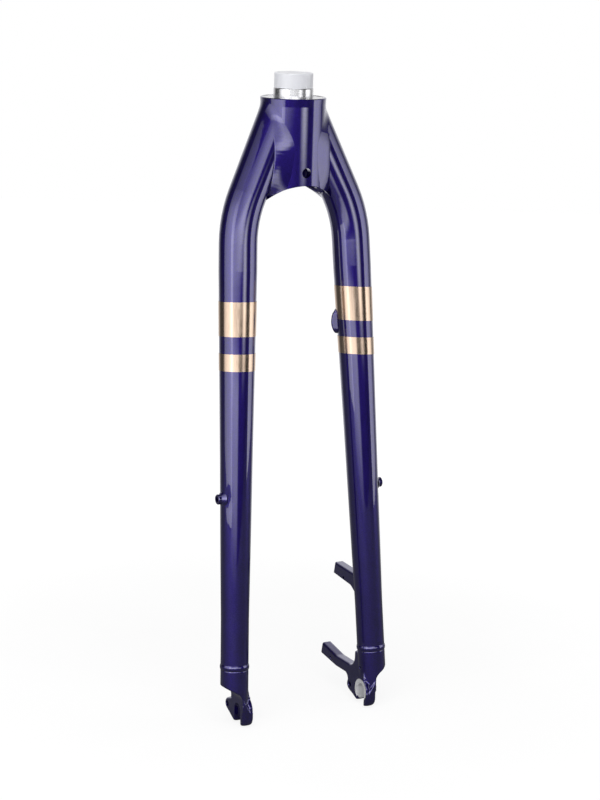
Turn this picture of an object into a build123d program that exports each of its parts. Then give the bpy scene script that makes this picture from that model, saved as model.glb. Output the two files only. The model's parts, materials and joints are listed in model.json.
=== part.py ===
"""Rigid disc brake bicycle fork, welded from aluminium tubes and forged ends.

Millimetres. The origin is on the steerer axis at the foot of the crown race seat.
+Z runs up the steerer, the front of the fork faces -Y and the rider's left is +X.
The disc brake posts are on the left leg.
"""
import os
from math import atan2, cos, degrees, hypot, radians, sin, sqrt, tan

from build123d import *

os.makedirs("parts", exist_ok=True)

# Steerer stub and its cap
steerer_diameter = 28.6
steerer_bore = 22.6
race_seat_diameter = 30.1
race_seat_height = 6.9
race_seat_chamfer = 0.5
steerer_stub = 10.4
steerer_socket_depth = 35.0
cap_wall = 0.3
cap_top = 0.7
cap_edge_radius = 0.6

# Crown tube
crown_diameter = 49.3
crown_lip_flare = 0.35
crown_lip_height = 6.0
crown_edge = 0.5
crown_rim_width = 2.0
crown_face_depth = 0.3
crown_wall = 5.0
arch_height = 64.4
arch_radius = 40.0
mudguard_hole_diameter = 7.4
mudguard_hole_above_arch = 9.6

# Fork geometry
axle_to_crown = 464.0
rake = 44.0
hub_spacing = 100.0
axle_slot = 9.6
leg_plane_setback = 1.85

# Legs
leg_top_offset = 6.6
bend_corner_offset = 47.5
bend_corner_drop = 89.9
bend_radius = 93.0
leg_diameter = 29.35
leg_end_diameter = 21.5
leg_wall = 2.2
taper_start_drop = 128.4
taper_end_drop = 394.0
leg_inset = 0.35
seam_above_axle = 34.0

# Welds
crown_weld_leg = 6.5
crown_weld_ground = 2.2
crown_weld_top = 18.0
crown_weld_fade_width = 9.0
crown_weld_fade_slope = 1.5
seam_weld_width = 4.4
seam_weld_root = 1.8
seam_weld_cap = 0.5

# Fork ends
end_plate = 8.5
end_front = 10.3
pad_recess = 0.4
pad_diameter = 17.4
pad_boss_radius = 9.6
pad_boss_depth = 3.4
front_tine = 12.4
front_tine_radius = 6.0
rear_tine_radius = 3.0
rear_tine_setback = 1.0
right_rear_tine = 11.8
left_rear_tine = 10.4
rib_top = 10.5
rib_foot = -0.5
rib_foot_inset = 2.6
scoop_above_axle = 13.2
scoop_slope = 28.0
scoop_radius = 7.8
plug_length = 12.0
plug_clearance = 0.05
plug_bore = 5.0
plug_bore_above_axle = 17.0
vent_diameter = 2.4
vent_above_axle = 17.8
neck_foot_width = 15.0
neck_top_width = 5.0
neck_height = 27.0
neck_edge_radius = 2.0
neck_slope_height = 20.0
neck_slope_depth = 2.5
outer_edge_radius = 2.0
inner_edge_radius = 1.0

# Mudguard eyelets, M5
eyelet_radius = 4.7
eyelet_tap_diameter = 4.2
eyelet_back = 17.4
eyelet_up = -0.9

# Brake posts, M6
post_spacing = 74.2
post_tilt = 13.2
post_width = 8.5
post_height = 9.8
post_middle_back = 57.7
post_middle_up = 50.7
post_tap_diameter = 5.0
post_tap_depth = 19.0
post_vent_diameter = 2.2
post_edge_radius = 1.6
arm_bend_back = 42.0
arm_bend_radius = 20.0
arm_root_top = 15.2
arm_root_bottom = 6.4
arm_neck_back = 12.0
arm_top_fillet = 9.0
arm_root_rise = 13.5
arm_fillet = 5.0
mount_root_top = 89.4
mount_root_bottom = 74.4
mount_foot_back = 13.5
mount_waist_back = 22.0
mount_waist_up = 79.4
mount_fillet = 9.0

# Rack bosses, M5
rack_boss_drop = 300.0
rack_boss_diameter = 7.8
rack_boss_height = 3.8
rack_boss_depth = 8.0
rack_boss_tap_diameter = 4.2
rack_boss_foot = 1.4
rack_boss_foot_width = 2.8
rack_boss_edge = 0.5

# Hose port
hose_port_drop = 172.4
hose_port_turn = 30.0
hose_port_length = 20.0
hose_port_width = 9.0
hose_port_height = 4.2
hose_port_crown = 15.7
hose_hole_length = 13.0
hose_hole_width = 6.0
hose_port_edge = 1.2

# Foil bands
band_thickness = 0.15
band_clearance = 0.1
band_trim = 5.0
wide_band = 26.0
band_gap = 13.0
narrow_band = 13.0
left_band_drop = 145.2
left_band_tilt = 6.5
right_band_drop = 151.3
right_band_tilt = 0.0


# Working allowances: how far a cutter runs past a face, and how close counts as the same place
overcut = 1.0
match_distance = 1e-3
corner_probe = 0.3

# Derived geometry
axle_drop = sqrt(axle_to_crown**2 - rake**2)
leg_lean = degrees(atan2(rake + leg_plane_setback, axle_drop))
leg_length = hypot(rake + leg_plane_setback, axle_drop)
leg_foot_offset = hub_spacing / 2 + leg_end_diameter / 2 + leg_inset
crown_radius = crown_diameter / 2
crown_lip_radius = crown_radius + crown_lip_flare
crown_reach = crown_lip_radius * 2
mudguard_hole_drop = arch_height - mudguard_hole_above_arch
crown_foot = arch_height + arch_radius - sqrt(arch_radius**2 - crown_radius**2)
seam_drop = leg_length - seam_above_axle
plate_inner = hub_spacing / 2 - pad_recess
plate_outer = hub_spacing / 2 + end_plate
axle_place = Pos(0, -rake, -axle_drop)
leg_plane = Pos(0, leg_plane_setback, 0) * Rot(-leg_lean, 0, 0)

leg_top = Vector(leg_top_offset, 0, 0)
bend_corner = Vector(bend_corner_offset, 0, -bend_corner_drop)
leg_foot = Vector(leg_foot_offset, 0, -leg_length)
lower_direction = (leg_foot - bend_corner).normalized()


def leg_point(drop):
    """Point on the straight lower centre line, a drop below the top, in the leg's own plane."""
    return bend_corner + lower_direction * ((drop - bend_corner_drop) / -lower_direction.Z)


def leg_radius(drop):
    """Outer radius of the leg at a drop below the top."""
    share = (drop - taper_start_drop) / (taper_end_drop - taper_start_drop)
    share = min(max(share, 0.0), 1.0)
    return leg_diameter / 2 + (leg_end_diameter - leg_diameter) / 2 * share


def leg_section_plane(drop):
    """Plane square to the lower centre line, facing down the leg."""
    return Plane(origin=leg_point(drop), x_dir=(0, 1, 0), z_dir=lower_direction)


def leg_stretch(start_drop, end_drop, grow=0.0):
    """Straight stretch of the leg between two drops, with the radius changed by grow."""
    length = (leg_point(end_drop) - leg_point(start_drop)).length
    start_radius = leg_radius(start_drop) + grow
    end_radius = leg_radius(end_drop) + grow
    align = (Align.CENTER, Align.CENTER, Align.MIN)
    if abs(start_radius - end_radius) < 1e-6:
        return leg_section_plane(start_drop) * Cylinder(start_radius, length, align=align)
    return leg_section_plane(start_drop) * Cone(start_radius, end_radius, length, align=align)


def leg_form(grow=0.0):
    """The whole leg as a solid bar in the leg's own plane, with its radius changed by grow."""
    path = FilletPolyline(leg_top, bend_corner, leg_point(taper_start_drop), radius=bend_radius)
    section = Plane(origin=path @ 0, z_dir=path % 0) * Circle(leg_diameter / 2 + grow)
    bent = sweep(section, path=path)
    taper = leg_stretch(taper_start_drop, taper_end_drop, grow)
    end = leg_stretch(taper_end_drop, seam_drop, grow)
    return bent + taper + end


def in_frame(shape):
    """Move a shape from the leg's own plane to the fork's frame."""
    return leg_plane * shape


def mirrored(shape):
    """The same shape on the right side."""
    return mirror(shape, about=Plane.YZ)


def make_steerer():
    """Steerer stub with the turned race seat, bored through."""
    seat_radius = race_seat_diameter / 2
    tube_radius = steerer_diameter / 2
    top = race_seat_height + steerer_stub
    outline = Polyline(
        (steerer_bore / 2, -steerer_socket_depth),
        (tube_radius, -steerer_socket_depth),
        (tube_radius, -crown_face_depth),
        (seat_radius, -crown_face_depth),
        (seat_radius, race_seat_height - race_seat_chamfer),
        (seat_radius - race_seat_chamfer, race_seat_height),
        (tube_radius, race_seat_height),
        (tube_radius, top),
        (steerer_bore / 2, top),
        close=True,
    )
    return revolve(Plane.XZ * make_face(outline), axis=Axis.Z)


def make_cap():
    """Thin plastic cap that stands on the race seat and closes the stub."""
    inner = steerer_diameter / 2
    top = race_seat_height + steerer_stub
    outer = Pos(0, 0, race_seat_height) * Cylinder(
        inner + cap_wall, steerer_stub + cap_top, align=(Align.CENTER, Align.CENTER, Align.MIN)
    )
    outer = fillet(outer.edges().group_by(Axis.Z)[-1], cap_edge_radius)
    hollow = Pos(0, 0, race_seat_height) * Cylinder(
        inner, steerer_stub, align=(Align.CENTER, Align.CENTER, Align.MIN)
    )
    return outer - hollow


def crown_outline(foot):
    """Outer form of the crown tube down to a foot, with its flared lip."""
    outline = Polyline(
        (0, -foot),
        (crown_radius, -foot),
        (crown_radius, -crown_lip_height),
        (crown_lip_radius, -crown_edge),
        (crown_lip_radius - crown_edge, 0),
        (0, 0),
        close=True,
    )
    return revolve(Plane.XZ * make_face(outline), axis=Axis.Z)


def arch_cutter():
    """Round bar along Y that cuts the arch under the crown."""
    bar = Rot(90, 0, 0) * Cylinder(arch_radius, crown_reach * 2)
    return Pos(0, 0, -arch_height - arch_radius) * bar


def make_crown():
    """Crown tube with the steerer socket, the faced top, the arched foot and the mudguard hole."""
    down = (Align.CENTER, Align.CENTER, Align.MAX)
    body = crown_outline(crown_foot)
    body -= Cylinder(crown_lip_radius - crown_rim_width, crown_face_depth, align=down)
    body -= Cylinder(steerer_diameter / 2, crown_foot, align=down)
    hollow_radius = crown_radius - crown_wall
    body -= Pos(0, 0, -steerer_socket_depth) * Cylinder(hollow_radius, crown_foot, align=down)
    body -= arch_cutter()
    hole = Rot(90, 0, 0) * Cylinder(mudguard_hole_diameter / 2, crown_reach * 2)
    return body - Pos(0, 0, -mudguard_hole_drop) * hole


def crown_bar():
    """Plain bar of the crown tube's size, run on above and below it."""
    return Pos(0, 0, -crown_foot / 2) * Cylinder(crown_radius, crown_foot * 3)


def crown_envelope():
    """Room that the crown takes, run on above and below so that it copes a leg cleanly."""
    return crown_bar() + crown_outline(crown_foot)


def make_crown_weld(leg_bar, crown_room):
    """Crown weld: a broad flat bead in the sharp corner below, ground to a narrow one above it."""
    reach = crown_reach
    deep = -crown_foot * 2
    fade = reach - crown_weld_fade_width
    top = -crown_weld_top
    below = Polyline(
        (-reach, top - crown_weld_fade_slope * fade),
        (-crown_weld_fade_width, top),
        (crown_weld_fade_width, top),
        (reach, top - crown_weld_fade_slope * fade),
        (reach, deep),
        (-reach, deep),
        close=True,
    )
    below = extrude(Plane.YZ * make_face(below), amount=reach)
    joined = crown_bar() + leg_bar
    corner = [
        edge
        for edge in joined.edges()
        if edge.geom_type not in (GeomType.CIRCLE, GeomType.LINE)
        and abs(hypot((edge @ corner_probe).X, (edge @ corner_probe).Y) - crown_radius) < match_distance
    ]
    broad = (chamfer(corner, crown_weld_leg) - joined) & below
    narrow = chamfer(corner, crown_weld_ground) - joined
    return narrow + broad - crown_room - arch_cutter()


def make_seam_weld():
    """Ring of weld in the groove between the tube and the fork end, in the fork's frame."""
    radius = leg_end_diameter / 2
    half = seam_weld_width / 2
    root = Line((radius - seam_weld_root, 0), (radius, half))
    cap = ThreePointArc((radius, half), (radius + seam_weld_cap, 0), (radius, -half))
    back = Line((radius, -half), (radius - seam_weld_root, 0))
    section = Plane.XZ * make_face([root, cap, back])
    ring = revolve(section, axis=Axis.Z)
    return in_frame(leg_section_plane(seam_drop) * ring)


def side_plate(sketch, start, thickness):
    """Extrude an outline drawn back and up from the axle, from one X outward."""
    return extrude(Plane.YZ.offset(start) * Pos(-rake, -axle_drop) * sketch, amount=thickness)


def cross_hole(back, up, diameter, start, end):
    """Hole along X at a place back and up from the axle."""
    place = Pos((start + end) / 2, back - rake, up - axle_drop)
    return place * Rot(0, 90, 0) * Cylinder(diameter / 2, end - start)


def near_vertex(sketch, back, up):
    """The corner of an outline that is nearest to a place."""
    return min(sketch.vertices(), key=lambda v: hypot(v.X - back, v.Y - up))


def end_outline(rear_tine):
    """Side view of a fork end: straight front, both tines and the eyelet."""
    front = Pos(-end_front / 2, (rib_top - front_tine) / 2) * Rectangle(end_front, rib_top + front_tine)
    front = fillet(near_vertex(front, -end_front, -front_tine), front_tine_radius)
    eyelet = Pos(eyelet_back, eyelet_up) * Circle(eyelet_radius)
    tip = Pos(axle_slot / 2 + rear_tine_setback, rear_tine_radius - rear_tine) * Circle(rear_tine_radius)
    boss = Circle(pad_boss_radius)
    return front + make_hull(boss.edges() + eyelet.edges() + tip.edges())


def end_slot():
    """Axle slot, open straight down."""
    slot = Circle(axle_slot / 2) + Pos(0, -front_tine) * Rectangle(axle_slot, front_tine * 2)
    return side_plate(slot, plate_inner - overcut, end_plate + pad_recess + overcut * 2)


def end_rib_cutter():
    """Room above the slanted top of the front rib, ahead of the axle."""
    reach = leg_end_diameter * 2
    rise = rib_top - rib_foot
    run = end_plate + pad_recess - rib_foot_inset
    corner = Polyline(
        (plate_inner - overcut, rib_foot),
        (plate_inner + rib_foot_inset, rib_foot),
        (plate_inner + rib_foot_inset + run * 2, rib_foot + rise * 2),
        (plate_inner - overcut, rib_foot + rise * 2),
        close=True,
    )
    place = Plane(origin=(0, -rake - axle_slot / 2, -axle_drop), x_dir=(1, 0, 0), z_dir=(0, -1, 0))
    return extrude(place * make_face(corner), amount=reach)


def end_plug():
    """Round end of the fork end below the seam, with the outer side scooped away on a slope."""
    top = seam_drop
    plug = in_frame(leg_stretch(top, leg_length))
    width = leg_end_diameter * 3
    scoop = Polyline(
        (0, -width),
        (0, scoop_above_axle),
        (width, scoop_above_axle + width * tan(radians(scoop_slope))),
        (width, -width),
        close=True,
    )
    scoop = fillet(near_vertex(make_face(scoop), 0, scoop_above_axle), scoop_radius)
    place = Plane(origin=(plate_outer, -rake, -axle_drop), x_dir=(1, 0, 0), z_dir=(0, -1, 0))
    plug -= extrude(place * scoop, amount=width, both=True)
    up = (Align.CENTER, Align.CENTER, Align.MAX)
    spigot = Cylinder(leg_end_diameter / 2 - leg_wall - plug_clearance, plug_length, align=up)
    return plug + in_frame(leg_section_plane(top) * spigot)


def end_neck():
    """Flat inner side between the hub pad and the round end, narrowing and sloped off upward."""
    foot = -leg_length
    top = foot + neck_height
    side = Polyline(
        (-neck_foot_width / 2, foot),
        (-neck_top_width / 2, top),
        (neck_top_width / 2, top),
        (neck_foot_width / 2, foot),
        close=True,
    )
    neck = extrude(Plane.YZ.offset(plate_inner) * make_face(side), amount=end_plate / 2)
    neck = fillet(neck.faces().sort_by(Axis.X)[0].edges().filter_by(Axis.Y, reverse=True), neck_edge_radius)
    slope = Polyline(
        (plate_inner - overcut, top - neck_slope_height),
        (plate_inner, top - neck_slope_height),
        (plate_inner + neck_slope_depth, top + overcut),
        (plate_inner - overcut, top + overcut),
        close=True,
    )
    neck -= extrude(Plane.XZ * make_face(slope), amount=neck_foot_width, both=True)
    return in_frame(neck)


def finish_end(plate):
    """Add the pad boss and the round end to a plate, then cut the slot, the pad and the holes."""
    body = plate - end_rib_cutter()
    body += cross_hole(0, 0, pad_boss_radius * 2, plate_inner, plate_inner + pad_boss_depth)
    body += end_neck()
    body += end_plug()
    body -= end_slot()
    body -= cross_hole(0, 0, pad_diameter, plate_inner - overcut, hub_spacing / 2)
    body -= cross_hole(
        eyelet_back, eyelet_up, eyelet_tap_diameter, plate_inner - overcut, plate_outer + overcut
    )
    bore_foot = leg_length - plug_bore_above_axle
    bore_length = (leg_point(bore_foot) - leg_point(seam_drop)).length + plug_length + overcut
    up = (Align.CENTER, Align.CENTER, Align.MAX)
    body -= in_frame(leg_section_plane(bore_foot) * Cylinder(plug_bore / 2, bore_length, align=up))
    vent_back = vent_above_axle * tan(radians(leg_lean))
    body -= cross_hole(vent_back, vent_above_axle, vent_diameter, plate_inner - overcut, leg_foot_offset)
    return body - make_seam_weld()


def post_place(share):
    """Middle of a brake post's face, back and up from the axle; share is -1 low and +1 high."""
    along = share * post_spacing / 2
    tilt = radians(post_tilt)
    return post_middle_back - along * sin(tilt), post_middle_up + along * cos(tilt)


def post_corners(share):
    """Upper and lower corners of a brake post's face."""
    back, up = post_place(share)
    tilt = radians(post_tilt)
    half = post_height / 2
    upper = (back - half * sin(tilt), up + half * cos(tilt))
    lower = (back + half * sin(tilt), up - half * cos(tilt))
    return upper, lower


def post_holes(share):
    """Tapped hole square to a brake post's face, with the small vent at its end."""
    back, up = post_place(share)
    tilt = radians(post_tilt)
    middle_x = hub_spacing / 2 + post_width / 2
    mouth = Vector(middle_x, back - rake, up - axle_drop)
    out = Vector(0, cos(tilt), sin(tilt))
    place = Plane(origin=mouth + out * overcut, z_dir=-out)
    tap = place * Cylinder(
        post_tap_diameter / 2, post_tap_depth + overcut, align=(Align.CENTER, Align.CENTER, Align.MIN)
    )
    vent_depth = post_tap_depth - post_tap_diameter / 2
    vent_back = back - vent_depth * cos(tilt)
    vent_up = up - vent_depth * sin(tilt)
    return tap + cross_hole(vent_back, vent_up, post_vent_diameter, plate_inner - overcut, middle_x)


def round_faces(plate, outer_radius, inner_radius):
    """Round the edges of both faces of a plate."""
    outer = plate.faces().sort_by(Axis.X)[-1]
    plate = fillet(outer.edges(), outer_radius)
    inner = plate.faces().sort_by(Axis.X)[0]
    return fillet(inner.edges(), inner_radius)


def end_blank(rear_tine):
    """Flat plate of a fork end with rounded edges."""
    plate = side_plate(end_outline(rear_tine), plate_inner, end_plate + pad_recess)
    return round_faces(plate, outer_edge_radius, inner_edge_radius)


def make_right_end():
    """Plain side fork end, drawn on the left and mirrored."""
    return mirrored(finish_end(end_blank(right_rear_tine)))


def make_left_end():
    """Disc side fork end with the lower brake post on its arm."""
    upper, lower = post_corners(-1)
    eyelet_rear = eyelet_back + eyelet_radius
    arm = Polyline(
        (0, eyelet_up),
        (eyelet_rear, eyelet_up),
        (eyelet_rear, arm_root_bottom),
        (arm_bend_back, arm_root_bottom),
        lower,
        upper,
        (arm_bend_back, arm_root_top),
        (arm_neck_back, arm_root_top),
        (arm_neck_back, arm_root_top + arm_root_rise),
        (0, arm_root_top + arm_root_rise),
        close=True,
    )
    arm = make_face(arm) + Pos(eyelet_back, eyelet_up) * Circle(eyelet_radius)
    arm = fillet(near_vertex(arm, arm_neck_back, arm_root_top), arm_top_fillet)
    arm = fillet(near_vertex(arm, eyelet_rear, arm_root_bottom), arm_fillet)
    arm = fillet(near_vertex(arm, arm_bend_back, arm_root_bottom), arm_bend_radius)
    arm = fillet(near_vertex(arm, arm_bend_back, arm_root_top), arm_bend_radius)
    arm = round_faces(side_plate(arm, hub_spacing / 2, post_width), post_edge_radius, post_edge_radius)
    body = finish_end(end_blank(left_rear_tine) + arm)
    return body - post_holes(-1)


def make_upper_mount(leg_bar):
    """Upper brake post, coped to the back of the left leg."""
    upper, lower = post_corners(1)
    outline = Polyline(
        (0, mount_root_top),
        upper,
        lower,
        (mount_waist_back, mount_waist_up),
        (mount_foot_back, mount_root_bottom),
        (0, mount_root_bottom),
        close=True,
    )
    outline = make_face(outline)
    outline = fillet(near_vertex(outline, mount_waist_back, mount_waist_up), mount_fillet)
    body = round_faces(side_plate(outline, hub_spacing / 2, post_width), post_edge_radius, post_edge_radius)
    body -= leg_bar
    body = body.solids().sort_by(Axis.Y)[-1]
    return body - post_holes(1)


def rack_boss_middle():
    """Place on the leg's centre line at the height of the rack bosses."""
    return in_frame(Pos(*leg_point(rack_boss_drop))).position


def make_rack_boss(leg_bar):
    """Threaded boss let into the outer side of a leg, with a small weld foot."""
    middle = rack_boss_middle()
    face = middle.X + leg_radius(rack_boss_drop) + rack_boss_height
    length = rack_boss_height + rack_boss_depth
    inward = Plane(origin=(face, middle.Y, middle.Z), x_dir=(0, 1, 0), z_dir=(-1, 0, 0))
    align = (Align.CENTER, Align.CENTER, Align.MIN)
    barrel = Cylinder(rack_boss_diameter / 2, length, align=align)
    barrel = chamfer(barrel.edges().group_by(Axis.Z)[0], rack_boss_edge)
    foot_start = rack_boss_height - rack_boss_foot
    foot = Pos(0, 0, foot_start) * Cone(
        rack_boss_diameter / 2,
        rack_boss_diameter / 2 + rack_boss_foot_width,
        rack_boss_foot * 2,
        align=align,
    )
    foot = inward * foot - leg_bar
    tap = Cylinder(rack_boss_tap_diameter / 2, length + overcut * 2, align=align)
    return inward * barrel + foot - inward * Pos(0, 0, -overcut) * tap


def rack_boss_room():
    """Hole in the leg for a rack boss."""
    middle = rack_boss_middle()
    reach = leg_diameter
    start = middle.X + leg_radius(rack_boss_drop) - rack_boss_depth
    place = Plane(origin=(start, middle.Y, middle.Z), x_dir=(0, 1, 0), z_dir=(1, 0, 0))
    align = (Align.CENTER, Align.CENTER, Align.MIN)
    return place * Cylinder(rack_boss_diameter / 2, reach, align=align)


def hose_port_plane():
    """Plane on the leg's centre line that faces out through the hose port, with its x upright."""
    middle = in_frame(Pos(*leg_point(hose_port_drop))).position
    turn = radians(hose_port_turn)
    return Plane(origin=middle, x_dir=(0, 0, 1), z_dir=(-cos(turn), sin(turn), 0))


def hose_port_form(length, width, reach):
    """Upright oval bar on the inner rear of the left leg, from its centre line out to a reach."""
    return extrude(hose_port_plane() * SlotOverall(length, width), amount=reach)


def make_hose_port(leg_bar):
    """Oval boss round the hose hole, with its face crowned from end to end."""
    face = leg_radius(hose_port_drop) + hose_port_height
    boss = hose_port_form(hose_port_length, hose_port_width, face)
    crown = Rot(90, 0, 0) * Cylinder(hose_port_crown, hose_port_width * 2)
    boss &= hose_port_plane() * Pos(0, 0, face - hose_port_crown) * crown
    boss = fillet(boss.faces().sort_by_distance((0, 0, 0))[0].edges(), hose_port_edge)
    return boss - leg_bar - hose_hole()


def hose_hole():
    """Hole through the boss and the leg's inner wall."""
    return hose_port_form(
        hose_hole_length, hose_hole_width, leg_radius(hose_port_drop) + hose_port_height + overcut
    )


def make_band(drop, height, tilt):
    """Foil band round a leg, tilted down towards its outer side."""
    start = max(drop - band_trim, taper_start_drop)
    end = drop + height + band_trim
    outside = leg_stretch(start, end, band_clearance + band_thickness)
    shell = outside - leg_stretch(start, end, band_clearance)
    middle = leg_section_plane(drop + height / 2)
    slab = middle * Rot(tilt, 0, 0) * Box(leg_diameter * 2, leg_diameter * 2, height)
    return in_frame(shell & slab)


def make_leg(leg_bar, crown_room):
    """Leg tube, coped to the crown and grooved for the seam weld."""
    tube = leg_bar - in_frame(leg_form(-leg_wall)) - crown_room
    tube = tube.solids().sort_by(SortBy.VOLUME)[-1]
    return tube - make_seam_weld() - rack_boss_room()


leg_bar = in_frame(leg_form())
crown_room = crown_envelope()
plain_leg = make_leg(leg_bar, crown_room)
rack_boss = make_rack_boss(leg_bar)
crown_weld = make_crown_weld(leg_bar, crown_room)
seam_weld = make_seam_weld()
hose_port = make_hose_port(leg_bar)
hose_room = hose_port_form(hose_port_length, hose_port_width, leg_diameter)
narrow_band_step = wide_band + band_gap
left_wide = make_band(left_band_drop, wide_band, left_band_tilt) - hose_room
left_narrow = make_band(left_band_drop + narrow_band_step, narrow_band, left_band_tilt) - hose_room
right_wide = make_band(right_band_drop, wide_band, right_band_tilt)
right_narrow = make_band(right_band_drop + narrow_band_step, narrow_band, right_band_tilt)

nodes = {
    "steerer_tube": make_steerer(),
    "steerer_cap": make_cap(),
    "crown": make_crown(),
    "left_leg": plain_leg - hose_hole(),
    "right_leg": mirrored(plain_leg),
    "left_crown_weld": crown_weld,
    "right_crown_weld": mirrored(crown_weld),
    "left_dropout": make_left_end(),
    "right_dropout": make_right_end(),
    "left_dropout_weld": seam_weld,
    "right_dropout_weld": mirrored(seam_weld),
    "upper_brake_mount": make_upper_mount(leg_bar),
    "left_rack_boss": rack_boss,
    "right_rack_boss": mirrored(rack_boss),
    "hose_port": hose_port,
    "left_wide_band": left_wide,
    "left_narrow_band": left_narrow,
    "right_wide_band": mirrored(right_wide),
    "right_narrow_band": mirrored(right_narrow),
}

for name, shape in nodes.items():
    shape.label = name
    export_step(shape, f"parts/{name}.step")
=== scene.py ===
"""Studio scene for a rigid bicycle fork: finishes, weld beads, light and camera.

Metres, in the frame of the solids: the origin is on the steerer axis at the crown's top rim,
+Z runs up the steerer, the front faces -Y and the rider's left, the brake side, is +X.
"""

import json
from math import atan2, cos, hypot, pi, radians, sin, sqrt

import bmesh
import bpy
from mathutils import Matrix, Vector, noise


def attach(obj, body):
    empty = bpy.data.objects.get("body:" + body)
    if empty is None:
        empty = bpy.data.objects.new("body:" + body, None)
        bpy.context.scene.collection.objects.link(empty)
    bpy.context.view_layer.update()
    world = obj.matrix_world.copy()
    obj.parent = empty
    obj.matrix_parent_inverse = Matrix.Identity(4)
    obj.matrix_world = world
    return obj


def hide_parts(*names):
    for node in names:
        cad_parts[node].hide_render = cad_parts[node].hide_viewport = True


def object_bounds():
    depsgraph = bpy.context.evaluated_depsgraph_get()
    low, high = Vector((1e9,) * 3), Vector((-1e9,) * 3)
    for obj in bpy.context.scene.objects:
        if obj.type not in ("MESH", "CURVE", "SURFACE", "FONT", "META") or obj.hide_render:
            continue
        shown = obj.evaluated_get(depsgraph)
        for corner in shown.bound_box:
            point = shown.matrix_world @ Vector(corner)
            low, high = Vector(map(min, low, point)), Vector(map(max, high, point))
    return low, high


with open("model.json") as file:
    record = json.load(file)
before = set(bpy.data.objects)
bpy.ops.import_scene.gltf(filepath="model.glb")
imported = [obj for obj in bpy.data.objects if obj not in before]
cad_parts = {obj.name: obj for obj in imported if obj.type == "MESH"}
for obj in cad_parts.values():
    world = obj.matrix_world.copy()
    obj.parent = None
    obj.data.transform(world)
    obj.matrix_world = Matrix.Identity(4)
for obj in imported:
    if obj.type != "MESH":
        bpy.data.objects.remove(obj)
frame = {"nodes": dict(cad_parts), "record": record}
cad_low, cad_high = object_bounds()
nodes = frame["nodes"]

# Places read from the frame
MM = 0.001
axle = Vector(next(m for m in frame["record"]["mounts"] if m["name"] == "axle_slots")["pos_m"])
floor_height = cad_low[2]
upright = Vector((0, 0, 1))

# Camera, fitted to the photograph's perspective
camera_place = Vector((-0.78592, -1.48682, 0.13643))
camera_target = Vector((0.00852, -0.00756, -0.23221))
camera_roll = radians(1.52)
camera_lens = 133.7
camera_sensor = 36.0
camera_clip = 0.05
away = Vector((camera_target.x - camera_place.x, camera_target.y - camera_place.y, 0)).normalized()

# Colours
white = (1.0, 1.0, 1.0, 1.0)
paint_colour = (0.010, 0.003, 0.105, 1.0)
paint_flake_colour = (0.018, 0.007, 0.180, 1.0)
bare_metal_colour = (0.80, 0.80, 0.82, 1.0)
bare_metal_dark = (0.68, 0.68, 0.71, 1.0)
gold_colour = (0.63, 0.48, 0.38, 1.0)
gold_dark = (0.56, 0.42, 0.32, 1.0)
cap_colour = (0.84, 0.85, 0.90, 1.0)
cap_dark = (0.76, 0.77, 0.84, 1.0)
floor_colour = (0.18, 0.18, 0.18, 1.0)
floor_dark = (0.15, 0.15, 0.15, 1.0)

# The part of a noise's range that finishes use
noise_range = (0.3, 0.7)

# Paint: noise and flake scales are per metre
paint_metallic = 0.9
paint_rough = (0.33, 0.39)
paint_clouds = (90, 90, 90)
paint_flakes = 2600.0
paint_ior = 1.5
coat_rough = 0.03
coat_ior = 1.8
peel_scale = (170, 170, 170)
peel_depth = 0.03 * MM
peel_strength = 0.5
dull_rough = 0.5

# Bare metal on painted pieces, with a grain for each way that it was cut
metal_rough = (0.22, 0.34)
metal_detail = 3.0
faced_grain = (900, 900, 900)
turned_grain = (40, 40, 5200)
pad_grain = (300, 2500, 2500)
pad_metallic = 0.35
pad_extra_rough = 0.25
crown_face_radius = 23.0 * MM
crown_face_low = -0.6 * MM
pad_radius = 8.75 * MM
pad_face = 50.2 * MM
slot_half = 5.0 * MM

# Gold foil
gold_streaks = (1500, 1500, 22)
gold_streak_detail = 3.0
gold_streak_rough = 0.6
gold_clouds = (160, 160, 60)
gold_cloud_share = 0.4
gold_tones = (0.45, 0.95)
gold_rough = (0.16, 0.22)
gold_depth = 0.02 * MM
gold_strength = 0.12

# Plastic of the steerer's cap
cap_clouds = (130, 130, 60)
cap_detail = 3.0
cap_rough = (0.28, 0.42)
cap_milkiness = 0.35
cap_milk_radius = (1.0, 1.0, 1.0)
cap_milk_scale = 2 * MM
cap_depth = 0.05 * MM
cap_strength = 0.3

# Softened fork ends
merge_distance = 1e-7
end_voxel = 0.45 * MM
end_soften = 6
soften_share = 0.5
tip_drop = 6.0 * MM
tip_rounds = 60

# Tubes that the crown beads join, as the solids have them
crown_radius = 24.65 * MM
leg_radius = 14.675 * MM
leg_top = Vector((6.6, 0, 0)) * MM
leg_corner = Vector((47.5, 0, -89.9)) * MM
leg_setback = 1.85 * MM
leg_lean = atan2(leg_setback - axle.y, -axle.z)
arch_radius = 40.0 * MM
arch_height = 64.4 * MM
arch_skin = 0.25 * MM

# Crown beads: mesh, edges, reach on the crown and on the leg, fullness and ripples
bead_steps = 260
bead_points = 14
bead_sharp = radians(40)
bead_proud = 0.04 * MM
bead_sink = 0.5 * MM
bead_crown_broad = 12.0 * MM
bead_crown_narrow = 4.5 * MM
bead_leg_width = 4.5 * MM
bead_root = bead_crown_narrow / 2
bead_broad_from = -14.0 * MM
bead_broad_to = -38.0 * MM
bead_swell = 1.5 * MM
bead_top = -1.2 * MM
bead_ripple = 0.015 * MM
bead_period = 3.0 * MM
bead_jitter = 0.4
bead_jitter_scale = 130

# Backdrop and room: cosines from the camera's level view, and the levels between them
backdrop_reach = (0.45, 1.0)
backdrop_mirrored = (0.03, 1.0)
room_reach = (-0.1, 0.5)
room_level = (0.2, 0.6)

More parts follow.
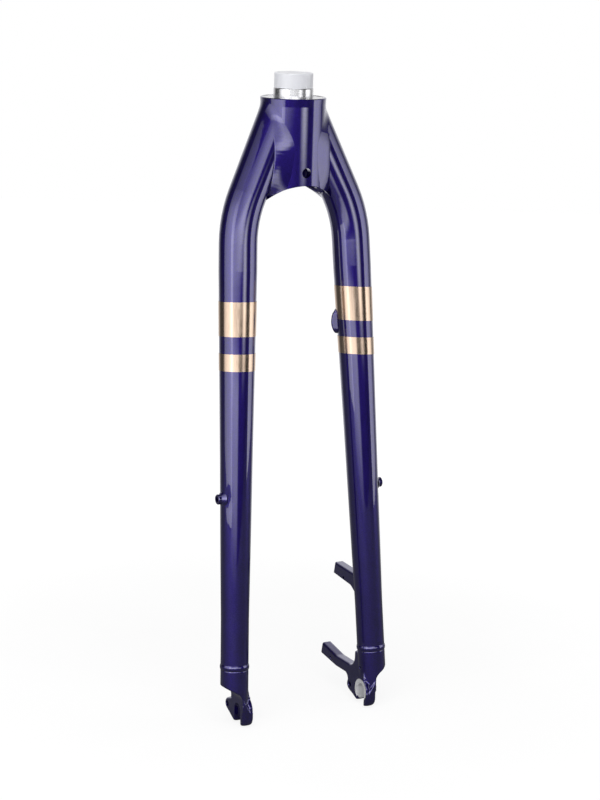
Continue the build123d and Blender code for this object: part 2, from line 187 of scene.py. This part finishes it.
# Floor: half its width and its depth behind, its depth in front, and its glow by distance
floor_size = 3.0
floor_front = 1.15
floor_clouds = (6, 6, 6)
floor_rough = 0.9
floor_glow_reach = (0.15, 0.9)
floor_glow = (0.84, 1.0)
floor_mirror_reach = (0.2, 0.9)
none_to_all = (0.0, 1.0)

# Height that lamps face, unless they say another
lamp_aim = -0.1


def new_material(name):
    """A node material with one principled shader; returns the material, its tree and the shader."""
    material = bpy.data.materials.new(name)
    material.use_nodes = True
    tree = material.node_tree
    shader = tree.nodes["Principled BSDF"]
    return material, tree, shader


def add_node(tree, kind, **values):
    """A shader node with its properties or inputs set by name."""
    node = tree.nodes.new(kind)
    for key, value in values.items():
        if key in node.inputs:
            node.inputs[key].default_value = value
        else:
            setattr(node, key, value)
    return node


def plug(tree, value, socket):
    """Link a socket to an input, or set the input to a number or a colour."""
    if isinstance(value, (int, float, tuple)):
        socket.default_value = value
    else:
        tree.links.new(value, socket)


def set_inputs(tree, shader, values):
    """Plug sockets, numbers or colours into a shader's inputs by name."""
    for name, value in values.items():
        plug(tree, value, shader.inputs[name])


def maths(tree, operation, first, second=0.0):
    """Result of one sum on sockets or numbers."""
    node = add_node(tree, "ShaderNodeMath", operation=operation)
    plug(tree, first, node.inputs[0])
    plug(tree, second, node.inputs[1])
    return node.outputs[0]


def ramp(tree, value, given, wanted):
    """Map a socket from one range to another with an eased course, held at both ends."""
    node = add_node(tree, "ShaderNodeMapRange", interpolation_type="SMOOTHSTEP")
    limits = {
        "Value": value,
        "From Min": given[0],
        "From Max": given[1],
        "To Min": wanted[0],
        "To Max": wanted[1],
    }
    set_inputs(tree, node, limits)
    return node.outputs["Result"]


def blend_colours(tree, factor, first, second):
    """Colour between two, which are colours or sockets."""
    node = add_node(tree, "ShaderNodeMix", data_type="RGBA")
    plug(tree, factor, node.inputs["Factor"])
    plug(tree, first, node.inputs[6])
    plug(tree, second, node.inputs[7])
    return node.outputs[2]


def stretched_noise(tree, scale, detail=2.0, rough=0.5):
    """Noise in the object's own coordinates, with its own scale along each axis, per metre."""
    place = add_node(tree, "ShaderNodeTexCoord")
    mapping = add_node(tree, "ShaderNodeMapping", Scale=scale)
    tree.links.new(place.outputs["Object"], mapping.inputs["Vector"])
    grain = add_node(tree, "ShaderNodeTexNoise", Scale=1.0, Detail=detail, Roughness=rough)
    tree.links.new(mapping.outputs["Vector"], grain.inputs["Vector"])
    return grain.outputs["Fac"]


def bump(tree, shader, height, distance, strength):
    """Small relief on a surface; returns its normal."""
    node = add_node(tree, "ShaderNodeBump", Distance=distance, Strength=strength)
    tree.links.new(height, node.inputs["Height"])
    tree.links.new(node.outputs["Normal"], shader.inputs["Normal"])
    return node.outputs["Normal"]


def metal_grain(tree, scale):
    """Colour and roughness of bare metal with fine cutting marks."""
    grain = stretched_noise(tree, scale, metal_detail)
    colour = blend_colours(tree, grain, bare_metal_dark, bare_metal_colour)
    return colour, ramp(tree, grain, noise_range, metal_rough)


def object_place(tree):
    """The x, y and z of a point in its object's own coordinates."""
    place = add_node(tree, "ShaderNodeTexCoord")
    parts = add_node(tree, "ShaderNodeSeparateXYZ")
    tree.links.new(place.outputs["Object"], parts.inputs["Vector"])
    return tuple(parts.outputs)


def flat_length(tree, first, second):
    """Length of a vector of two parts."""
    squares = [maths(tree, "MULTIPLY", part, part) for part in (first, second)]
    return maths(tree, "SQRT", maths(tree, "ADD", *squares))


def crown_face_mask(tree):
    """1 on the faced top of the crown, inside its painted rim."""
    x, y, z = object_place(tree)
    inside = maths(tree, "LESS_THAN", flat_length(tree, x, y), crown_face_radius)
    return maths(tree, "MULTIPLY", inside, maths(tree, "GREATER_THAN", z, crown_face_low))


def arch_mask(tree):
    """1 on the arch under the crown, where the paint is thin and dull."""
    x, _, z = object_place(tree)
    up = maths(tree, "ADD", z, arch_height + arch_radius)
    return maths(tree, "LESS_THAN", flat_length(tree, x, up), arch_radius + arch_skin)


def steerer_mask(tree):
    """1 on the part of the steerer above the crown."""
    _, _, z = object_place(tree)
    return maths(tree, "GREATER_THAN", z, crown_face_low)


def hub_pad_mask(tree):
    """1 on the hub pads, which the wheel's hub is clamped against, and in the left axle slot."""
    x, y, z = object_place(tree)
    back = maths(tree, "SUBTRACT", y, axle.y)
    up = maths(tree, "SUBTRACT", z, axle.z)
    from_axle = flat_length(tree, back, up)
    near = maths(tree, "LESS_THAN", from_axle, pad_radius)
    inner = maths(tree, "LESS_THAN", maths(tree, "ABSOLUTE", x), pad_face)
    pad = maths(tree, "MULTIPLY", near, inner)
    round_end = maths(tree, "LESS_THAN", from_axle, slot_half)
    beside = maths(tree, "LESS_THAN", maths(tree, "ABSOLUTE", back), slot_half)
    below = maths(tree, "MULTIPLY", beside, maths(tree, "LESS_THAN", up, 0.0))
    opening = maths(tree, "MAXIMUM", round_end, below)
    slot = maths(tree, "MULTIPLY", opening, maths(tree, "GREATER_THAN", x, 0.0))
    return maths(tree, "MAXIMUM", pad, slot)


def make_paint(
    name,
    bare_mask=None,
    grain_scale=faced_grain,
    bare_metallic=1.0,
    bare_extra_rough=0.0,
    dull_mask=None,
):
    """Glossy metallic paint: deep base, fine flake and a clear coat.

    It is bare metal where bare_mask is 1, and without its coat where dull_mask is 1.
    """
    material, tree, shader = new_material(name)
    place = add_node(tree, "ShaderNodeTexCoord")
    flake = add_node(tree, "ShaderNodeTexVoronoi", Scale=paint_flakes)
    tree.links.new(place.outputs["Object"], flake.inputs["Vector"])
    sparkle = add_node(tree, "ShaderNodeSeparateColor")
    tree.links.new(flake.outputs["Color"], sparkle.inputs["Color"])
    colour = blend_colours(tree, sparkle.outputs["Red"], paint_colour, paint_flake_colour)
    rough = ramp(tree, stretched_noise(tree, paint_clouds), noise_range, paint_rough)
    metallic = paint_metallic
    coat = 1.0
    if bare_mask:
        bare = bare_mask(tree)
        bare_colour, bare_rough = metal_grain(tree, grain_scale)
        colour = blend_colours(tree, bare, colour, bare_colour)
        bare_rough = maths(tree, "ADD", bare_rough, bare_extra_rough)
        shift = maths(tree, "MULTIPLY", bare, maths(tree, "SUBTRACT", bare_rough, rough))
        rough = maths(tree, "ADD", rough, shift)
        metallic = ramp(tree, bare, none_to_all, (paint_metallic, bare_metallic))
        coat = maths(tree, "SUBTRACT", 1.0, bare)
    if dull_mask:
        dull = dull_mask(tree)
        coat = maths(tree, "MULTIPLY", coat, maths(tree, "SUBTRACT", 1.0, dull))
        rough = maths(tree, "ADD", rough, maths(tree, "MULTIPLY", dull, dull_rough))
    relief = stretched_noise(tree, peel_scale)
    values = {
        "Base Color": colour,
        "Roughness": rough,
        "Metallic": metallic,
        "IOR": paint_ior,
        "Coat Weight": coat,
        "Coat Roughness": coat_rough,
        "Coat IOR": coat_ior,
        "Coat Normal": bump(tree, shader, relief, peel_depth, peel_strength),
    }
    set_inputs(tree, shader, values)
    return material


def make_gold():
    """Satin rose gold foil, with fine streaks along the leg."""
    material, tree, shader = new_material("gold_foil")
    streak = stretched_noise(tree, gold_streaks, gold_streak_detail, gold_streak_rough)
    cloud = maths(tree, "MULTIPLY", stretched_noise(tree, gold_clouds), gold_cloud_share)
    tone = ramp(tree, maths(tree, "ADD", streak, cloud), gold_tones, none_to_all)
    values = {
        "Base Color": blend_colours(tree, tone, gold_dark, gold_colour),
        "Roughness": ramp(tree, streak, noise_range, gold_rough),
        "Metallic": 1.0,
    }
    set_inputs(tree, shader, values)
    bump(tree, shader, streak, gold_depth, gold_strength)
    return material


def make_cap_plastic():
    """Milky plastic with faint flow marks."""
    material, tree, shader = new_material("milky_plastic")
    cloud = stretched_noise(tree, cap_clouds, cap_detail)
    values = {
        "Base Color": blend_colours(tree, cloud, cap_dark, cap_colour),
        "Roughness": ramp(tree, cloud, noise_range, cap_rough),
        "Subsurface Weight": cap_milkiness,
        "Subsurface Radius": cap_milk_radius,
        "Subsurface Scale": cap_milk_scale,
    }
    set_inputs(tree, shader, values)
    bump(tree, shader, cloud, cap_depth, cap_strength)
    return material


def dress(piece, material):
    """Give a piece one material."""
    piece.data.materials.clear()
    piece.data.materials.append(material)


def soft_copy(node, name, voxel, rounds):
    """Evenly meshed copy of a solid with its sharp edges softened, which replaces it."""
    mesh = bpy.data.meshes.new(name)
    form = bmesh.new()
    form.from_mesh(nodes[node].data)
    bmesh.ops.remove_doubles(form, verts=form.verts, dist=merge_distance)
    form.to_mesh(mesh)
    form.free()
    piece = bpy.data.objects.new(name, mesh)
    bpy.context.scene.collection.objects.link(piece)
    voxels = piece.modifiers.new("voxels", "REMESH")
    voxels.mode = "VOXEL"
    voxels.voxel_size = voxel
    soften = piece.modifiers.new("soften", "SMOOTH")
    soften.factor = soften_share
    soften.iterations = rounds
    bpy.context.view_layer.update()
    depsgraph = bpy.context.evaluated_depsgraph_get()
    soft = bpy.data.meshes.new_from_object(piece.evaluated_get(depsgraph))
    piece.modifiers.clear()
    piece.data = soft
    bpy.data.meshes.remove(mesh)
    soft.shade_smooth()
    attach(piece, "root")
    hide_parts(node)
    return piece


def round_tips(piece):
    """Round the ends of a fork end's tines further, below the axle."""
    form = bmesh.new()
    form.from_mesh(piece.data)
    tips = [vert for vert in form.verts if vert.co.z < axle.z - tip_drop]
    for _ in range(tip_rounds):
        bmesh.ops.smooth_vert(
            form,
            verts=tips,
            factor=soften_share,
            use_axis_x=False,
            use_axis_y=True,
            use_axis_z=True,
        )
    form.to_mesh(piece.data)
    form.free()
    piece.data.shade_smooth()


def leg_axis():
    """A point on the left leg's upper axis, and its directions: down the leg, and two across it."""
    lean = Matrix.Rotation(-leg_lean, 3, "X")
    start = lean @ leg_top + Vector((0, leg_setback, 0))
    along = (lean @ (leg_corner - leg_top)).normalized()
    side = lean @ Vector((0, 1, 0))
    return start, along, side, along.cross(side)


def bead_corner(turn):
    """Point on the corner between the left leg and the crown, with both outward normals there."""
    start, along, side, out = leg_axis()
    leg_normal = side * cos(turn) + out * sin(turn)
    base = start + leg_normal * leg_radius
    run = along.x**2 + along.y**2
    half = base.x * along.x + base.y * along.y
    rest = base.x**2 + base.y**2 - crown_radius**2
    corner = base + along * ((sqrt(half**2 - run * rest) - half) / run)
    crown_normal = Vector((corner.x, corner.y, 0)).normalized()
    return corner, crown_normal, leg_normal


def walk_round(start, axis_point, axis, way, distance):
    """Walk on a tube from a point: the new point, the outward normal there and the way back."""
    out = start - axis_point
    out -= axis * out.dot(axis)
    radius = out.length
    normal = out / radius
    beside = axis.cross(normal)
    round_part = way.dot(beside)
    along_part = way.dot(axis)
    turn = Matrix.Rotation(distance * round_part / radius, 3, axis)
    new_normal = turn @ normal
    place = start + (new_normal - normal) * radius + axis * (distance * along_part)
    back = -(turn @ beside * round_part + axis * along_part)
    return place, new_normal, back


def share_between(value, low, high):
    """How far a value is from low to high, eased, from 0 to 1."""
    share = min(max((value - low) / (high - low), 0.0), 1.0)
    return share * share * (3 - 2 * share)


def meeting_point(first, first_way, last, last_way):
    """Middle of the nearest places of two lines."""
    apart = last - first
    between = first_way.dot(last_way)
    spread = 1 - between**2
    first_reach = (apart.dot(first_way) - between * apart.dot(last_way)) / spread
    last_reach = (between * apart.dot(first_way) - apart.dot(last_way)) / spread
    return (first + first_way * first_reach + last + last_way * last_reach) / 2


def bead_section(turn, travelled):
    """Points across the bead at one place on the corner, from the crown to the leg, and its root."""
    corner, crown_normal, leg_normal = bead_corner(turn)
    leg_start, leg_along = leg_axis()[:2]
    broad = share_between(corner.z, bead_broad_from, bead_broad_to)
    swollen = share_between(corner.z, bead_broad_from, -arch_height)
    crown_width = bead_crown_narrow + (bead_crown_broad - bead_crown_narrow) * broad
    on_crown = (leg_normal - crown_normal * leg_normal.dot(crown_normal)).normalized()
    on_leg = (crown_normal - leg_normal * crown_normal.dot(leg_normal)).normalized()
    if on_crown.z > 0:
        crown_width = min(crown_width, (bead_top - corner.z) / on_crown.z)
    first, first_normal, first_way = walk_round(corner, Vector(), upright, on_crown, crown_width)
    last, last_normal, last_way = walk_round(corner, leg_start, leg_along, on_leg, bead_leg_width)
    middle = meeting_point(first, first_way, last, last_way)
    swell_way = (crown_normal + leg_normal).normalized()
    jitter = noise.noise(corner * bead_jitter_scale) * bead_jitter
    wave = cos(2 * pi * (travelled / bead_period + jitter))
    points = [first - first_normal * bead_sink]
    for index in range(bead_points + 1):
        across = index / bead_points
        arch = 4 * across * (1 - across)
        lift = bead_proud + (bead_swell * swollen + bead_ripple * broad * wave) * arch
        bend = first * (1 - across)**2 + middle * (2 * across * (1 - across)) + last * across**2
        points.append(bend + swell_way * lift)
    points.append(last - last_normal * bead_sink)
    points.append(corner - swell_way * bead_root)
    return points


def out_of_arch(point):
    """The point, or where it would be on the arch's own face if it were inside the arch."""
    middle_height = -arch_height - arch_radius
    reach = hypot(point.x, point.z - middle_height)
    if reach >= arch_radius:
        return point
    scale = arch_radius / reach
    return Vector((point.x * scale, point.y, middle_height + (point.z - middle_height) * scale))


def make_crown_bead(side, mirror):
    """Weld bead in the corner of a leg and the crown: a narrow blend above, broad and rippled below."""
    sections = []
    travelled = 0.0
    before = None
    for step in range(bead_steps):
        turn = 2 * pi * step / bead_steps
        corner = bead_corner(turn)[0]
        if before is not None:
            travelled += (corner - before).length
        before = corner
        sections.append([out_of_arch(point) for point in bead_section(turn, travelled)])
    form = bmesh.new()
    rings = []
    for section in sections:
        rings.append([form.verts.new((point.x * mirror, point.y, point.z)) for point in section])
    for index, ring in enumerate(rings):
        following = rings[(index + 1) % len(rings)]
        for place in range(len(ring)):
            beside = (place + 1) % len(ring)
            form.faces.new((ring[place], ring[beside], following[beside], following[place]))
    bmesh.ops.remove_doubles(form, verts=form.verts, dist=merge_distance)
    bmesh.ops.recalc_face_normals(form, faces=form.faces)
    if form.calc_volume(signed=True) < 0:
        bmesh.ops.reverse_faces(form, faces=form.faces)
    name = f"{side}_crown_bead"
    mesh = bpy.data.meshes.new(name)
    form.to_mesh(mesh)
    form.free()
    mesh.shade_smooth()
    mesh.set_sharp_from_angle(angle=bead_sharp)
    piece = bpy.data.objects.new(name, mesh)
    bpy.context.scene.collection.objects.link(piece)
    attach(piece, "root")
    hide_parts(f"{side}_crown_weld")
    return piece


def profile(tree, value, stops):
    """Level along a lamp, from (place, level) pairs."""
    curve = add_node(tree, "ShaderNodeValToRGB")
    curve.color_ramp.interpolation = "EASE"
    elements = curve.color_ramp.elements
    while len(elements) < len(stops):
        elements.new(0.5)
    for element, (place, level) in zip(elements, stops):
        element.position = place
        element.color = (level, level, level, 1.0)
    tree.links.new(value, curve.inputs["Fac"])
    return curve.outputs["Color"]


def around(azimuth, distance, height):
    """Place round the fork; azimuth 0 is in front and 90 on the rider's left."""
    angle = radians(azimuth)
    return Vector((sin(angle) * distance, -cos(angle) * distance, height))


def softbox(name, place, size, radiance, across, rising, turn=0.0, aim=lamp_aim):
    """Rectangular softbox that faces the steerer's axis at the height aim.

    radiance is what a reflection of its brightest part shows. across and rising hold pairs of a
    place and a level: across in the sense of growing azimuth, from the rider's right to the left
    for a lamp in front, and rising from the lower edge. turn tips the lamp in its own plane, in
    degrees.
    """
    width, height = size
    light = bpy.data.lights.new(name, "AREA")
    light.shape = "RECTANGLE"
    light.size = width
    light.size_y = height
    light.energy = radiance * pi * width * height
    light.use_nodes = True
    tree = light.node_tree
    shape = add_node(tree, "ShaderNodeNewGeometry")
    parts = add_node(tree, "ShaderNodeSeparateXYZ")
    tree.links.new(shape.outputs["Parametric"], parts.inputs["Vector"])
    level_across = profile(tree, parts.outputs["X"], across)
    level_rising = profile(tree, parts.outputs["Y"], rising)
    level = maths(tree, "MULTIPLY", level_across, level_rising)
    tree.links.new(level, tree.nodes["Emission"].inputs["Strength"])
    lamp = bpy.data.objects.new(name, light)
    bpy.context.scene.collection.objects.link(lamp)
    facing = (Vector((0, 0, aim)) - place).to_track_quat("-Z", "Y").to_matrix().to_4x4()
    lamp.matrix_world = Matrix.Translation(place) @ facing @ Matrix.Rotation(radians(turn), 4, "Z")


def make_lights():
    """Big tipped softbox behind the camera, four smaller ones round the fork and a top light."""
    even = ((0.0, 0.0), (0.15, 1.0), (0.85, 1.0), (1.0, 0.0))
    standing = ((0.0, 0.9), (0.06, 1.0), (0.55, 1.0), (1.0, 0.3))
    softbox(
        "key_softbox",
        place=around(azimuth=-30, distance=2.2, height=0.53),
        size=(3.7, 1.7),
        radiance=3.3,
        across=((0.0, 0.5), (0.35, 0.62), (0.72, 1.0), (0.8, 0.9), (1.0, 0.0)),
        rising=((0.0, 0.0), (0.2, 0.9), (0.35, 1.0), (0.6, 0.5), (1.0, 0.25)),
        turn=7.0,
    )
    softbox(
        "left_softbox",
        place=around(azimuth=-84, distance=1.1, height=0.1),
        size=(1.3, 1.15),
        radiance=2.1,
        across=((0.0, 0.0), (0.12, 0.55), (0.5, 0.8), (0.8, 1.0), (1.0, 0.6)),
        rising=standing,
    )
    softbox(
        "right_softbox",
        place=around(azimuth=68, distance=1.2, height=-0.02),
        size=(0.9, 0.9),
        radiance=2.2,
        across=((0.0, 0.0), (0.12, 1.0), (0.5, 0.8), (1.0, 0.3)),
        rising=standing,
    )
    softbox(
        "front_strip",
        place=around(azimuth=14, distance=1.5, height=-0.09),
        size=(0.9, 0.44),
        radiance=3.4,
        across=((0.0, 0.0), (0.5, 1.0), (1.0, 0.0)),
        rising=((0.0, 0.0), (0.4, 1.0), (0.6, 1.0), (1.0, 0.0)),
    )
    softbox(
        "low_softbox",
        place=around(azimuth=-38, distance=0.75, height=-0.31),
        size=(0.66, 0.3),
        radiance=2.0,
        across=((0.0, 0.7), (0.25, 1.0), (0.75, 1.0), (1.0, 0.0)),
        rising=((0.0, 0.0), (0.45, 0.8), (0.7, 1.0), (1.0, 0.0)),
        aim=-0.31,
    )
    softbox(
        "top_softbox",
        place=around(azimuth=-28, distance=0.75, height=1.3),
        size=(1.5, 1.5),
        radiance=2.2,
        across=even,
        rising=even,
    )


def along_view(tree, place):
    """How far a place or a direction goes along the camera's level view."""
    node = add_node(tree, "ShaderNodeVectorMath", operation="DOT_PRODUCT")
    tree.links.new(place, node.inputs[0])
    node.inputs[1].default_value = away
    return node.outputs["Value"]


def ray_kinds(tree):
    """1 for the camera's own rays, and 1 for rays that come by way of metal or glass."""
    path = add_node(tree, "ShaderNodeLightPath").outputs
    mirrored = maths(tree, "MAXIMUM", path["Is Glossy Ray"], path["Is Transmission Ray"])
    return path["Is Camera Ray"], mirrored


def make_world():
    """White backdrop behind the fork, and a dimmer room in front of it."""
    world = bpy.data.worlds.new("studio")
    bpy.context.scene.world = world
    world.use_nodes = True
    tree = world.node_tree
    tree.nodes.clear()
    output = add_node(tree, "ShaderNodeOutputWorld")
    background = add_node(tree, "ShaderNodeBackground", Color=white)
    place = add_node(tree, "ShaderNodeTexCoord")
    behind = along_view(tree, place.outputs["Generated"])
    direct, mirrored = ray_kinds(tree)
    shown = ramp(tree, behind, backdrop_reach, backdrop_mirrored)
    plain = ramp(tree, behind, room_reach, room_level)
    change = maths(tree, "MULTIPLY", mirrored, maths(tree, "SUBTRACT", shown, plain))
    level = maths(tree, "MAXIMUM", maths(tree, "ADD", plain, change), direct)
    tree.links.new(level, background.inputs["Strength"])
    tree.links.new(background.outputs["Background"], output.inputs["Surface"])


def make_floor():
    """Plain pale floor that fades into the white backdrop and keeps the fork's shadow."""
    mesh = bpy.data.meshes.new("floor")
    sideways = Vector((away.y, -away.x, 0))
    ends = (
        (-floor_front, -floor_size),
        (-floor_front, floor_size),
        (floor_size, floor_size),
        (floor_size, -floor_size),
    )
    corners = [away * back + sideways * aside for back, aside in ends]
    mesh.from_pydata(corners, [], [(0, 1, 2, 3)])
    floor = bpy.data.objects.new("floor", mesh)
    floor.location.z = floor_height
    bpy.context.scene.collection.objects.link(floor)
    material, tree, shader = new_material("pale_floor")
    cloud = stretched_noise(tree, floor_clouds)
    place = add_node(tree, "ShaderNodeTexCoord").outputs["Object"]
    length = add_node(tree, "ShaderNodeVectorMath", operation="LENGTH")
    tree.links.new(place, length.inputs[0])
    spread = length.outputs["Value"]
    behind = maths(tree, "DIVIDE", along_view(tree, place), spread)
    direct, mirrored = ray_kinds(tree)
    mirrored = maths(tree, "MULTIPLY", mirrored, ramp(tree, behind, backdrop_reach, none_to_all))
    mirrored = maths(tree, "MULTIPLY", mirrored, ramp(tree, spread, floor_mirror_reach, none_to_all))
    seen = maths(tree, "MAXIMUM", mirrored, direct)
    glow = ramp(tree, spread, floor_glow_reach, floor_glow)
    values = {
        "Base Color": blend_colours(tree, cloud, floor_dark, floor_colour),
        "Roughness": floor_rough,
        "Specular IOR Level": 0.0,
        "Emission Color": white,
        "Emission Strength": maths(tree, "MULTIPLY", seen, glow),
    }
    set_inputs(tree, shader, values)
    mesh.materials.append(material)


def make_camera():
    """Camera at the photograph's place, with its small roll."""
    data = bpy.data.cameras.new("camera")
    data.sensor_fit = "HORIZONTAL"
    data.sensor_width = camera_sensor
    data.lens = camera_lens
    data.clip_start = camera_clip
    camera = bpy.data.objects.new("camera", data)
    bpy.context.scene.collection.objects.link(camera)
    forward = (camera_target - camera_place).normalized()
    right = forward.cross(upright).normalized()
    up = right.cross(forward)
    turned_right = right * cos(camera_roll) + up * sin(camera_roll)
    turned_up = up * cos(camera_roll) - right * sin(camera_roll)
    axes = Matrix((turned_right, turned_up, -forward)).transposed().to_4x4()
    camera.matrix_world = Matrix.Translation(camera_place) @ axes
    bpy.context.scene.camera = camera


paint = make_paint("purple_paint")
end_paint = make_paint("purple_paint_pads", hub_pad_mask, pad_grain, pad_metallic, pad_extra_rough)
gold = make_gold()
finishes = {
    "crown": make_paint("purple_paint_faced", crown_face_mask, dull_mask=arch_mask),
    "steerer_tube": make_paint("steerer_metal", steerer_mask, turned_grain),
    "steerer_cap": make_cap_plastic(),
}
for name, solid in nodes.items():
    if name.endswith("_band"):
        dress(solid, gold)
    else:
        dress(solid, finishes.get(name, paint))

for side, mirror in (("left", 1), ("right", -1)):
    dress(make_crown_bead(side, mirror), paint)
    fork_end = soft_copy(f"{side}_dropout", f"{side}_fork_end", end_voxel, end_soften)
    round_tips(fork_end)
    dress(fork_end, end_paint)

make_lights()
make_world()
make_floor()
make_camera()
bpy.context.scene.view_settings.view_transform = "Standard"
